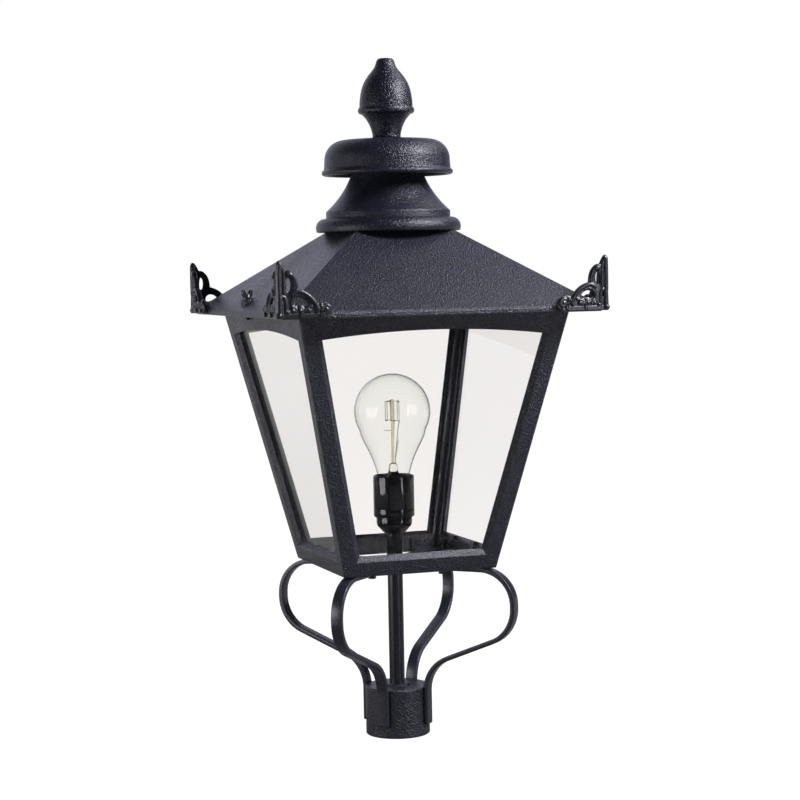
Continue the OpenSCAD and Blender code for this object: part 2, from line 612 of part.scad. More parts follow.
// ---- chimney ----
collar_z = roof_top_z;
module chimney_collar() {
  c = [129.3, 620.6];   // centre of the hollow flare
  color(iron) difference() {
    union() {
    rotate_extrude($fn = 128) polygon(concat(
      [[42, collar_z], [collar_r - 1, collar_z]],
      arc(collar_r - 9.6, 529.5, 9.6, -25, 88, 12),
      [[64.4, 539.3], [64.3, 545.4], [63.8, 546.3]],
      arc(c[0], c[1], 99, 228.6, 204.1, 14),
      [[neck_r - 1.2, 584], [neck_r - 2.5, 590], [neck_r - 3, 597],
       [neck_r - 6, 597], [neck_r - 5.5, 590], [neck_r - 4.2, 584], [35.6, 580]],
      rev(arc(c[0], c[1], 102.6, 227.6, 204.6, 10)),
      [[60.5, 544], [60.5, 529], [42, 529]]));
      intersection() {
        translate([-60, -7, 560]) cube([120, 14, 6]);
        translate([0, 0, 560]) cylinder(r1 = 49.3, r2 = 45.2, h = 6);
      }
    }
    for (k = [0:3]) rotate([0, 0, 90 * k]) translate([47, 0, 520]) cylinder(r = 1.6, h = 20);
    translate([0, 0, 550]) cylinder(r = 3.1, h = 30);
  }
}
module collar_screws() {
  color(zinc) for (k = [0:3]) rotate([0, 0, 90 * k]) translate([47, 0, 0]) {
    translate([0, 0, 520]) cylinder(r = 3.4, h = 2.5);
    translate([0, 0, 522.5]) cylinder(r = 1.55, h = 6.2);
  }
}
module chimney_cap() {
  z = cap_z;
  color(iron) rotate_extrude($fn = 128) polygon(concat(
    [[62.4, z + 1.2], [63.4, z]], arc(cap_r - 2.9, z + 2.9, 2.9, -80, 60, 8),
    [[65.5, z + 6.6], [65.3, z + 9], [64.8, z + 16]],
    arc(44.5, 599, 20.3, 4, 84, 12),
    [[30, 620.3], [18, cap_top_z], [3.1, cap_top_z], [3.1, cap_top_z - 3.6], [18, cap_top_z - 3.6], [30, 616.8]],
    rev(arc(44.5, 599, 17.2, 4, 84, 10)),
    [[61.7, z + 16], [62.2, z + 9], [62.4, z + 6]]));
}
module cap_spacer() {
  color(zinc) difference() {
    translate([0, 0, 566]) cylinder(r = 6, h = cap_top_z - 3.6 - 566);
    translate([0, 0, 560]) cylinder(r = 3.05, h = 80);
  }
}
module tie_rod() { color(zinc) translate([0, 0, 553]) cylinder(r = 3, h = 87); }
module tie_rod_nut() {
  color(zinc) difference() {
    translate([0, 0, 555]) hexagon(10, 5);
    translate([0, 0, 550]) cylinder(r = 3.02, h = 20);
  }
}
module finial() {
  color(iron) difference() {
    rotate_extrude($fn = 128) polygon(concat(
      [[0, cap_top_z + 0.1], [13.6, cap_top_z + 0.1]],
      smooth([[14.7, 622.2], [14.6, 624.5], [15.6, 629], [17.3, 634], [20.4, 639.8], [24.6, 645]], 4),
      smooth([[25.4, 645.6], [28.2, 646.7], [29.3, 649.4], [28.4, 652], [27.6, 652.6]], 3),
      smooth([[27.5, 653.4], [27.4, 657], [26.9, 662], [26, 667.5], [24.6, 673], [22.2, 678.6], [18.9, 684], [15, 688.9], [12, 692.8], [10.3, 696.4], [9.3, 699.6], [7.4, 702.2], [4, 702.9]], 3),
      [[0, 703]]));
    translate([0, 0, 600]) cylinder(r = 3.06, h = 42);
  }
}

// ---- thumb screw ----
module thumb_screw() {
  color(iron2) translate([latch_x, 0, 0]) union() {
    translate([0, 0, 437.6]) cylinder(r = 2.3, h = 22);
    translate([0, 0, 458.3]) cylinder(r = 4.6, h = 2.4);
    translate([0, 0, 460.7]) cylinder(r1 = 4.1, r2 = 3, h = 2.9);
    rotate([0, 0, 35]) for (m = [0, 1]) mirror([m, 0, 0]) rotate([90, 0, 0]) linear_extrude(height = 2.6, center = true)
      polygon(smooth([[0, 459.6], [3.6, 460], [6.6, 462.6], [7.6, 466], [6.2, 468], [4.2, 467], [2.6, 464.4], [0, 463.2]], 4));
  }
}

post_socket();
socket_grub_screws();
arm_socket_screws();
scroll_arm_front_left();
scroll_arm_front_right();
scroll_arm_rear_left();
scroll_arm_rear_right();
arm_bolts();
arm_washers();
arm_nuts();
base_spider();
spider_screws();
side_frame_front();
side_frame_rear();
side_frame_left();
side_frame_right();
glass_pane_front();
glass_pane_rear();
glass_pane_left();
glass_pane_right();
pane_clips();
pane_clip_screws();
head_ring();
head_ring_screws();
hinge_fixed_leaves();
hinge_screws();
hinge_pins();
latch_keeper();
stem_tube();
stem_lock_nut();
lampholder_base();
lampholder_skirt();
lampholder_insert();
lampholder_thread_shell();
lampholder_centre_contact();
roof_shell();
roof_soffit();
hinge_moving_leaves();
hinge_rivets();
corner_ornament_front_left();
corner_ornament_front_right();
corner_ornament_rear_left();
corner_ornament_rear_right();
ornament_screws();
chimney_collar();
collar_screws();
chimney_cap();
cap_spacer();
tie_rod();
tie_rod_nut();
thumb_screw();
finial();
bulb_glass();
bulb_cap();
bulb_cap_contact();
bulb_mount();
bulb_wires();
bulb_filament();
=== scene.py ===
import bpy
import bmesh
import json
import math
from mathutils import Matrix, Vector


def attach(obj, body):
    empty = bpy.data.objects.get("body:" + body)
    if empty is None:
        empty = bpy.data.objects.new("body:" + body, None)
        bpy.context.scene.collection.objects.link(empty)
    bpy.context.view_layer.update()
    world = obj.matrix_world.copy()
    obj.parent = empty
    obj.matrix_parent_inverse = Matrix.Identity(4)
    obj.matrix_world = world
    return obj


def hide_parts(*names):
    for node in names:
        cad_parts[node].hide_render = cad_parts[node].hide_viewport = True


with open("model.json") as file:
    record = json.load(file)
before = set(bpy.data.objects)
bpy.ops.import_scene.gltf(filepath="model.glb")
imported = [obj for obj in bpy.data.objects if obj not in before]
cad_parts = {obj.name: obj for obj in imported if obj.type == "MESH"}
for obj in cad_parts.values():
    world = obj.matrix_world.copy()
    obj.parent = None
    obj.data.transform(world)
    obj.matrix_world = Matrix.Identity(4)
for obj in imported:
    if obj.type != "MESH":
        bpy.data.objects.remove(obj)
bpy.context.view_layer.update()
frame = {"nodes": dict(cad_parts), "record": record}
N = frame["nodes"]
MM = 0.001
scene = bpy.context.scene


# ---------------------------------------------------------------- camera
AZ = math.radians(19.1428)
DIST, HEIGHT = 2.18105, 0.49405
PITCH, YAW, ROLL = (math.radians(v) for v in (-3.7802, 0.22525, -1.1071))


def camera_axes():
    fwd = Vector((math.sin(YAW) * math.cos(PITCH), math.cos(YAW) * math.cos(PITCH), math.sin(PITCH)))
    right = Vector((math.cos(YAW), -math.sin(YAW), 0))
    up = right.cross(fwd)
    r2 = math.cos(ROLL) * right + math.sin(ROLL) * up
    u2 = -math.sin(ROLL) * right + math.cos(ROLL) * up
    turn = Matrix.Rotation(-AZ, 3, "Z")
    return turn @ r2, turn @ u2, turn @ fwd, turn @ Vector((0, -DIST, HEIGHT))


cam_right, cam_up, cam_fwd, cam_pos = camera_axes()
cam = bpy.data.objects.new("photo_camera", bpy.data.cameras.new("photo_camera"))
scene.collection.objects.link(cam)
cam.matrix_world = Matrix((
    (cam_right.x, cam_up.x, -cam_fwd.x, cam_pos.x),
    (cam_right.y, cam_up.y, -cam_fwd.y, cam_pos.y),
    (cam_right.z, cam_up.z, -cam_fwd.z, cam_pos.z),
    (0, 0, 0, 1)))
cam.data.sensor_width = 36
cam.data.lens = 94.5
cam.data.clip_start, cam.data.clip_end = 0.05, 60
scene.camera = cam
scene.view_settings.view_transform = "Standard"


# ---------------------------------------------------------------- shader helpers
class Tree:
    """Short calls for building one material's node tree."""

    def __init__(self, name):
        self.m = bpy.data.materials.new(name)
        self.m.use_nodes = True
        self.t = self.m.node_tree
        self.t.nodes.clear()
        self.out = self.t.nodes.new("ShaderNodeOutputMaterial")
        self.bsdf = self.t.nodes.new("ShaderNodeBsdfPrincipled")
        self.link(self.bsdf.outputs[0], self.out.inputs["Surface"])
        self.co = self.t.nodes.new("ShaderNodeTexCoord").outputs["Object"]

    def link(self, a, b):
        self.t.links.new(a, b)

    def put(self, socket, v):
        if isinstance(v, bpy.types.NodeSocket):
            self.link(v, socket)
        else:
            socket.default_value = v

    def noise(self, scale, detail=2.0, rough=0.5, distort=0.0, squash=None):
        n = self.t.nodes.new("ShaderNodeTexNoise")
        n.inputs["Scale"].default_value = scale
        n.inputs["Detail"].default_value = detail
        n.inputs["Roughness"].default_value = rough
        n.inputs["Distortion"].default_value = distort
        co = self.co
        if squash:
            mp = self.t.nodes.new("ShaderNodeMapping")
            mp.inputs["Scale"].default_value = squash
            self.link(co, mp.inputs["Vector"])
            co = mp.outputs[0]
        self.link(co, n.inputs["Vector"])
        return n.outputs["Fac"]

    def remap(self, v, a, b, c, d):
        n = self.t.nodes.new("ShaderNodeMapRange")
        n.clamp = True
        self.link(v, n.inputs["Value"])
        for name, x in (("From Min", a), ("From Max", b), ("To Min", c), ("To Max", d)):
            n.inputs[name].default_value = x
        return n.outputs["Result"]

    def math(self, op, a, b=0.0):
        n = self.t.nodes.new("ShaderNodeMath")
        n.operation = op
        self.put(n.inputs[0], a)
        self.put(n.inputs[1], b)
        return n.outputs[0]

    def mix(self, f, a, b):
        n = self.t.nodes.new("ShaderNodeMix")
        n.data_type = "RGBA"
        self.put(n.inputs[0], f)
        self.put(n.inputs[6], a)
        self.put(n.inputs[7], b)
        return n.outputs[2]

    def bevel(self, radius, samples=4):
        n = self.t.nodes.new("ShaderNodeBevel")
        n.samples = samples
        n.inputs["Radius"].default_value = radius
        return n.outputs["Normal"]

    def bump(self, height, strength, distance, normal=None):
        n = self.t.nodes.new("ShaderNodeBump")
        n.inputs["Strength"].default_value = strength
        n.inputs["Distance"].default_value = distance
        self.link(height, n.inputs["Height"])
        if normal is not None:
            self.link(normal, n.inputs["Normal"])
        return n.outputs["Normal"]

    def edge(self, bevel_normal, low=0.004, high=0.10):
        """1 on an edge, 0 on a flat face."""
        g = self.t.nodes.new("ShaderNodeNewGeometry").outputs["Normal"]
        n = self.t.nodes.new("ShaderNodeVectorMath")
        n.operation = "DOT_PRODUCT"
        self.link(bevel_normal, n.inputs[0])
        self.link(g, n.inputs[1])
        return self.remap(self.math("SUBTRACT", 1.0, n.outputs["Value"]), low, high, 0, 1)


def rgba(r, g, b):
    return (r, g, b, 1.0)


def coat(name, dark, light, rough=(0.40, 0.60), grain=400, bump=0.45, depth=0.0010,
         edge_r=0.0010, edge_highlight_amount=0.35, edge_highlight_colour=(0.085, 0.088, 0.096), crisp=(0.44, 0.60), cloudy=0.25, spec=0.5):
    """Textured paint: grain in bump, colour and roughness, cloudy variation, and a painted edge highlight: a lighter
    colour along edges, in patches.
    """
    t = Tree(name)
    t.bsdf.inputs["Specular IOR Level"].default_value = spec
    a = t.noise(grain, 1.5, 0.5)
    fine = t.noise(grain * 2.3, 2.0, 0.5)
    cloud = t.noise(10, 3.0, 0.55)
    edge_highlight_patches = t.noise(85, 4.0, 0.65)
    n0 = t.bevel(edge_r)
    speck = t.remap(a, crisp[0], crisp[1], 0, 1)
    col = t.mix(speck, rgba(*dark), rgba(*light))
    col = t.mix(t.remap(cloud, 0.38, 0.66, 0.0, cloudy), col, rgba(*[c * 1.5 for c in light]))
    # painted edge highlight: a lighter colour laid along edges and broken into patches by noise stands in for the light
    # lines that edges catch
    edge = t.math("MULTIPLY", t.edge(n0), t.remap(edge_highlight_patches, 0.42, 0.66, 0.0, edge_highlight_amount))
    t.link(t.mix(edge, col, rgba(*edge_highlight_colour)), t.bsdf.inputs["Base Color"])
    r = t.remap(a, crisp[0] - 0.05, crisp[1] + 0.05, rough[1], rough[0])
    r = t.math("ADD", r, t.remap(cloud, 0.3, 0.7, -0.05, 0.05))
    t.link(t.math("SUBTRACT", r, t.math("MULTIPLY", edge, 0.12)), t.bsdf.inputs["Roughness"])
    h = t.math("ADD", t.math("MULTIPLY", speck, 0.35), t.math("MULTIPLY", t.math("ADD", a, fine), 0.35))
    t.link(t.bump(h, bump, depth, n0), t.bsdf.inputs["Normal"])
    return t.m


def metal(name, colour, rough=(0.22, 0.42), scratch=900, tint=None, edge_r=0.0004):
    """Bare metal with fine drawn scratches and uneven dulling."""
    t = Tree(name)
    lines = t.noise(scratch, 3.0, 0.6, squash=(1, 1, 0.12))
    dull = t.noise(140, 4.0, 0.6)
    t.link(t.mix(t.remap(dull, 0.4, 0.75, 0, 0.5), rgba(*colour), rgba(*(tint or [c * 0.55 for c in colour]))),
           t.bsdf.inputs["Base Color"])
    t.bsdf.inputs["Metallic"].default_value = 1.0
    t.link(t.math("ADD", t.remap(lines, 0.3, 0.7, *rough), t.remap(dull, 0.4, 0.7, 0, 0.12)), t.bsdf.inputs["Roughness"])
    t.link(t.bump(lines, 0.12, 0.0001, t.bevel(edge_r)), t.bsdf.inputs["Normal"])
    return t.m


def moulded(name, colour, rough=(0.06, 0.16), wave=60, coat_w=0.0):
    """Glossy moulding: slow flow waves, faint dust in the roughness."""
    t = Tree(name)
    flow = t.noise(wave, 1.5, 0.4)
    dust = t.noise(700, 3.0, 0.6)
    t.link(t.mix(t.remap(dust, 0.55, 0.8, 0, 0.10), rgba(*colour), rgba(*[min(1, c + 0.05) for c in colour])),
           t.bsdf.inputs["Base Color"])
    t.link(t.math("ADD", t.remap(flow, 0.3, 0.7, *rough), t.remap(dust, 0.5, 0.8, 0, 0.05)), t.bsdf.inputs["Roughness"])
    t.link(t.bump(flow, 0.03, 0.0004, t.bevel(0.0005)), t.bsdf.inputs["Normal"])
    t.bsdf.inputs["Coat Weight"].default_value = coat_w
    return t.m


def glass(name, tint, rough=0.0, ior=1.46, waviness=0.02, wave=18, absorb=None, density=0.0, smudge=0.05, through=0.93, rim=None):
    """Clear glass that lets lamps' light through, with a little waviness and faint dust; where rim is given, a painted
    shade darkens its colour towards the outline.
    """
    t = Tree(name)
    wave_n = t.noise(wave, 1.0, 0.4)
    dust = t.noise(55, 5.0, 0.65)
    t.bsdf.inputs["Base Color"].default_value = rgba(*tint)
    # painted shade: the colour turns dark brown where the surface faces away from view, a painted dark outline along
    # the glass's silhouette
    if rim:
        lw = t.t.nodes.new("ShaderNodeLayerWeight")
        lw.inputs["Blend"].default_value = 0.5
        t.link(t.mix(t.remap(lw.outputs["Facing"], 0.70, 0.90, 0, 1), rgba(*tint), rgba(*rim)), t.bsdf.inputs["Base Color"])
    t.bsdf.inputs["Transmission Weight"].default_value = 1.0
    t.bsdf.inputs["IOR"].default_value = ior
    t.link(t.remap(dust, 0.45, 0.8, rough, rough + smudge), t.bsdf.inputs["Roughness"])
    t.link(t.bump(wave_n, waviness, 0.001), t.bsdf.inputs["Normal"])
    lp = t.t.nodes.new("ShaderNodeLightPath")
    clear = t.t.nodes.new("ShaderNodeBsdfTransparent")
    clear.inputs[0].default_value = rgba(*[through * c for c in tint])
    mx = t.t.nodes.new("ShaderNodeMixShader")
    t.link(lp.outputs["Is Shadow Ray"], mx.inputs[0])
    t.link(t.bsdf.outputs[0], mx.inputs[1])
    t.link(clear.outputs[0], mx.inputs[2])
    t.link(mx.outputs[0], t.out.inputs["Surface"])
    if absorb:
        v = t.t.nodes.new("ShaderNodeVolumeAbsorption")
        v.inputs["Color"].default_value = rgba(*absorb)
        v.inputs["Density"].default_value = density
        t.link(v.outputs[0], t.out.inputs["Volume"])
    return t.m


# In the coats below, the lighter edge colour is a painted edge highlight.
M = {
    "cast_body": coat("cast_body", (0.0022, 0.0026, 0.0058), (0.0090, 0.0102, 0.0178), (0.30, 0.45), 560, 0.78, 0.0009, 0.0011, 0.6,
                      edge_highlight_colour=(0.150, 0.150, 0.170), cloudy=0.12, spec=0.47),
    "cast_turned": coat("cast_turned", (0.0026, 0.0028, 0.0062), (0.0095, 0.0102, 0.0180), (0.25, 0.37), 620, 0.62, 0.0009, 0.0005, 0.4,
                        edge_highlight_colour=(0.110, 0.110, 0.125), cloudy=0.10, spec=0.38),
    "painted_steel": coat("painted_steel", (0.0060, 0.0066, 0.0100), (0.0135, 0.0148, 0.0205), (0.24, 0.35), 700, 0.18, 0.0005, 0.0007, 0.8,
                          edge_highlight_colour=(0.150, 0.150, 0.168)),
    "stem_paint": coat("stem_paint", (0.0050, 0.0056, 0.0085), (0.0100, 0.0110, 0.0150), (0.20, 0.28), 800, 0.03, 0.0002, 0.0005, 0.3, crisp=(0.30, 0.80)),
    "ornament_iron": coat("ornament_iron", (0.0036, 0.0040, 0.0064), (0.0080, 0.0088, 0.0128), (0.29, 0.40), 300, 0.12, 0.0005, 0.0006, 0.25),
    "black_fasteners": coat("black_fasteners", (0.008, 0.0085, 0.011), (0.016, 0.017, 0.021), (0.24, 0.38), 1300, 0.15, 0.0002, 0.0004, 0.5, (0.14, 0.14, 0.145)),
    "zinc_steel": metal("zinc_steel", (0.56, 0.57, 0.59)),
    "lampholder_plastic": moulded("lampholder_plastic", (0.0045, 0.0042, 0.0058), (0.05, 0.11), 60),
    "porcelain": moulded("porcelain", (0.78, 0.77, 0.72), (0.10, 0.22), 40, 0.3),
    "brass": metal("brass", (0.66, 0.55, 0.33), (0.20, 0.38), 1100, (0.30, 0.22, 0.12)),
    "window_glass": glass("window_glass", (0.949, 0.935, 0.922), 0.0, 1.17, 0.012, 7, smudge=0.012, through=0.45),
    # the bulb's brown rim colour is a painted dark outline
    "bulb_glass": glass("bulb_glass", (0.999, 1.0, 0.990), 0.0, 1.22, 0.05, 34, (0.62, 0.62, 0.40), 22, 0.0, rim=(0.16, 0.12, 0.08)),
    "stem_glass": glass("stem_glass", (0.950, 0.940, 0.820), 0.0, 1.30, 0.03, 60, (0.62, 0.56, 0.12), 300, 0.0),
    "press_glass": glass("press_glass", (0.970, 0.972, 0.945), 0.0, 1.30, 0.03, 60, (0.70, 0.70, 0.55), 30, 0.0),
    "bulb_insulator": moulded("bulb_insulator", (0.012, 0.012, 0.014), (0.10, 0.2), 200),
    "lead_wire": metal("lead_wire", (0.16, 0.145, 0.115), (0.3, 0.45), 1500),
    "filament": metal("filament", (0.11, 0.105, 0.10), (0.35, 0.5), 2500),
}


# ---------------------------------------------------------------- mesh helpers
def new_piece(name, mesh, material, body, node_names=()):
    ob = bpy.data.objects.new(name, mesh)
    scene.collection.objects.link(ob)
    mesh.materials.clear()
    mesh.materials.append(M[material])
    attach(ob, body)
    if node_names:
        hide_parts(*node_names)
    return ob


def smooth_by_angle(mesh, degrees=35):
    for p in mesh.polygons:
        p.use_smooth = True
    mesh.set_sharp_from_angle(angle=math.radians(degrees))


def catmull(P, n):
    """A smooth curve through points, n steps for each gap."""
    out = []
    for i in range(len(P) - 1):
        a, b, c, d = (Vector(P[max(i - 1, 0)]), Vector(P[i]), Vector(P[i + 1]), Vector(P[min(i + 2, len(P) - 1)]))
        for k in range(n):
            t = k / n
            out.append(0.5 * (2 * b + (c - a) * t + (2 * a - 5 * b + 4 * c - d) * t * t + (3 * b - a - 3 * c + d) * t ** 3))
    out.append(Vector(P[-1]))
    return out


def arc(cx, cy, r, a1, a2, n):
    return [Vector((cx + r * math.cos(math.radians(a1 + (a2 - a1) * i / n)),
                    cy + r * math.sin(math.radians(a1 + (a2 - a1) * i / n)))) for i in range(n + 1)]


def lathe(name, profile, segments=160, closed=True, sharp=35):
    """Turns a profile of (radius, height) in mm about Z. Points on the axis are shared."""
    bm = bmesh.new()
    rings = []
    for p in profile:
        r, z = p[0] * MM, p[1] * MM
        if r < 1e-7:
            rings.append([bm.verts.new((0, 0, z))])
        else:
            rings.append([bm.verts.new((r * math.cos(2 * math.pi * k / segments), r * math.sin(2 * math.pi * k / segments), z))
                          for k in range(segments)])
    pairs = list(zip(rings, rings[1:]))
    if closed:
        pairs.append((rings[-1], rings[0]))
    for a, b in pairs:
        if len(a) == 1 and len(b) == 1:
            continue
        for k in range(segments):
            j = (k + 1) % segments
            q = [a[k % len(a)], a[j % len(a)], b[j % len(b)], b[k % len(b)]]
            u = []
            for v in q:
                if v not in u:
                    u.append(v)
            if len(u) > 2:
                bm.faces.new(u)
    bmesh.ops.recalc_face_normals(bm, faces=bm.faces)
    me = bpy.data.meshes.new(name)
    bm.to_mesh(me)
    bm.free()
    smooth_by_angle(me, sharp)
    return me


def tube(points, radius, sides=8, closed=False):
    """A closed round tube along points, as a bmesh-ready (verts, faces)."""
    P = [Vector(p) for p in points]
    n = len(P)
    verts, faces = [], []
    ref = None
    for i in range(n):
        if closed:
            d = (P[(i + 1) % n] - P[i - 1]).normalized()
        else:
            d = (P[min(i + 1, n - 1)] - P[max(i - 1, 0)]).normalized()
        if ref is None:
            ref = d.orthogonal().normalized()
        ref = (ref - d * ref.dot(d)).normalized()
        side = d.cross(ref)
        rr = radius[i] if isinstance(radius, (list, tuple)) else radius
        for k in range(sides):
            a = 2 * math.pi * k / sides
            verts.append(P[i] + (ref * math.cos(a) + side * math.sin(a)) * rr)
    last = n if closed else n - 1
    for i in range(last):
        for k in range(sides):
            j = (k + 1) % sides
            i2 = (i + 1) % n
            faces.append((i * sides + k, i * sides + j, i2 * sides + j, i2 * sides + k))
    if not closed:
        faces.append(tuple(range(sides - 1, -1, -1)))
        faces.append(tuple((n - 1) * sides + k for k in range(sides)))
    return verts, faces


def mesh_of(name, parts, sharp=40):
    """One mesh from several (verts, faces)."""
    verts, faces = [], []
    for v, f in parts:
        o = len(verts)
        verts += [tuple(x) for x in v]
        faces += [tuple(i + o for i in q) for q in f]
    me = bpy.data.meshes.new(name)
    me.from_pydata(verts, [], faces)
    bm = bmesh.new()
    bm.from_mesh(me)
    bmesh.ops.recalc_face_normals(bm, faces=bm.faces)
    bm.to_mesh(me)
    bm.free()
    smooth_by_angle(me, sharp)
    return me


def apply_modifiers(ob):
    dg = bpy.context.evaluated_depsgraph_get()
    me = bpy.data.meshes.new_from_object(ob.evaluated_get(dg))
    bpy.data.objects.remove(ob)
    return me


def ball(centre, radius, squash=(1, 1, 1), seg=14):
    bm = bmesh.new()
    bmesh.ops.create_uvsphere(bm, u_segments=seg, v_segments=seg // 2 + 1, radius=1.0)
    v = [Vector((p.co.x * squash[0], p.co.y * squash[1], p.co.z * squash[2])) * radius + Vector(centre) for p in bm.verts]
    bm.verts.index_update()
    f = [tuple(x.index for x in q.verts) for q in bm.faces]
    bm.free()
    return v, f


# ---------------------------------------------------------------- arms
ARM_W, ARM_T, GROOVE, FOOT = 12.0, 5.0, 32.4, 12.0
R1, R2, R3, SLOPE, REACH, BASE_Z = 35.5, 38.0, 38.0, 22.0, 134.0, 179.6


def arm_path():
    au, at = GROOVE + 0.05 + ARM_T / 2, BASE_Z - ARM_T / 2
    s = math.radians(SLOPE)
    c1 = (REACH - R1, at - R1)
    c2 = (REACH - R2, c1[1] - 3.5)
    sx, sz = c2[0] + R2 * math.sin(s), c2[1] - R2 * math.cos(s)
    eu = au + R3 * (1 - math.sin(s))
    ez = sz - (sx - eu) / math.cos(s) * math.sin(s)
    c3 = (au + R3, ez - R3 * math.cos(s))
    P = [Vector((au, FOOT + 0.0))] + arc(c3[0], c3[1], R3, 180, 90 + SLOPE, 26)
    P += arc(c2[0], c2[1], R2, -90 + SLOPE, 0, 30) + arc(c1[0], c1[1], R1, 0, 90, 34) + [Vector((47, at))]
    # even steps
    out = [P[0]]
    for a, b in zip(P, P[1:]):
        d = (b - a).length
        for k in range(max(1, round(d / 2.5))):
            out.append(a + (b - a) * (k + 1) / max(1, round(d / 2.5)))
    clean = [out[0]]
    for p in out[1:]:
        if (p - clean[-1]).length > 0.05:
            clean.append(p)
    return clean


def arm_mesh(name):
    """Flat bar with rounded long edges, swept along the arm's line in the X-Z plane."""
    r = 0.9
    prof = []
    for cx, cy, a0 in ((ARM_W / 2 - r, ARM_T / 2 - r, 0), (-ARM_W / 2 + r, ARM_T / 2 - r, 90),
                       (-ARM_W / 2 + r, -ARM_T / 2 + r, 180), (ARM_W / 2 - r, -ARM_T / 2 + r, 270)):
        prof += arc(cx, cy, r, a0, a0 + 90, 4)
    P = arm_path()
    n, m = len(P), len(prof)
    rows = []
    for i in range(n):
        d = (P[min(i + 1, n - 1)] - P[max(i - 1, 0)]).normalized()
        rows.append((P[i], d))
    # a softened end at each end of the bar
    ends = [(0.9, 0.80), (0.35, 0.94), (0.0, 1.0)]
    full = [(rows[0][0] + rows[0][1] * 0.0, rows[0][1], ends[0][1])]
    full += [(rows[0][0] + rows[0][1] * 0.35, rows[0][1], 0.94), (rows[0][0] + rows[0][1] * 0.9, rows[0][1], 1.0)]
    full += [(p, d, 1.0) for p, d in rows[1:-1]]
    pe, de = rows[-1]
    full += [(pe - de * 0.9, de, 1.0), (pe - de * 0.35, de, 0.94), (pe, de, 0.80)]
    verts, faces = [], []
    for p, d, s in full:
        nrm = Vector((-d.y, d.x))
        hs = (ARM_W / 2 - (1 - s) * 4.5) / (ARM_W / 2)
        ts = (ARM_T / 2 - (1 - s) * 4.5) / (ARM_T / 2)
        for q in prof:
            c = p + nrm * (q.y * ts)
            verts.append(Vector((c.x, q.x * hs, c.y)) * MM)
    k = len(full)
    for i in range(k - 1):
        for j in range(m):
            j2 = (j + 1) % m
            faces.append((i * m + j, i * m + j2, (i + 1) * m + j2, (i + 1) * m + j))
    faces.append(tuple(range(m)))
    faces.append(tuple((k - 1) * m + j for j in range(m)))
    return mesh_of(name, [(verts, faces)], 50)


for k, place in enumerate(("rear_right", "rear_left", "front_left", "front_right")):
    me = arm_mesh("arm_bar_" + place)
    me.transform(Matrix.Rotation(math.radians(45 + 90 * k), 4, "Z"))
    new_piece("arm_bar_" + place, me, "painted_steel", "lantern", ["scroll_arm_" + place])


# ---------------------------------------------------------------- corner ornaments
ORN_O, ORN_Z, ORN_MID = 170.0, 443.5, 167.5


def wing_place(a, z, d):
    """Wing coordinates (along the eave, up, depth from the mid plane outwards) to the row frame, in metres."""
    return Vector((-ORN_O + a, -ORN_MID - d, ORN_Z + z)) * MM


def flat_plate(loops, half, bevel):
    """An extruded plate with holes and rounded edges, in wing coordinates."""
    cu = bpy.data.curves.new("plate", "CURVE")
    cu.dimensions = "2D"
    cu.fill_mode = "BOTH"
    cu.extrude = (half - bevel) * MM
    cu.bevel_depth = bevel * MM
    cu.bevel_resolution = 2
    for L in loops:
        s = cu.splines.new("POLY")
        s.points.add(len(L) - 1)
        for p, q in zip(s.points, L):
            p.co = (q[0] * MM, q[1] * MM, 0, 1)
        s.use_cyclic_u = True
    ob = bpy.data.objects.new("plate", cu)
    scene.collection.objects.link(ob)
    me = apply_modifiers(ob)
    v = [Vector((-ORN_O * MM + p.co.x, -ORN_MID * MM - p.co.z, ORN_Z * MM + p.co.y)) for p in me.vertices]
    f = [tuple(q.vertices) for q in me.polygons]
    return v, f


def rim(points, radius, n=5, d=1.0, taper=False):
    P = catmull([(p[0], p[1], 0) for p in points], n)
    R = [radius * MM] * len(P)
    if taper:
        R = [radius * MM * (0.45 + 0.55 * math.sin(math.pi * min(1, max(0, i / (len(P) - 1))) ** 0.8)) for i in range(len(P))]
    return tube([wing_place(p.x, p.y, d) for p in P], R, 10)


def curve2(P, n=3):
    return [v.to_2d() for v in catmull([(x, y, 0) for x, y in P], n)]


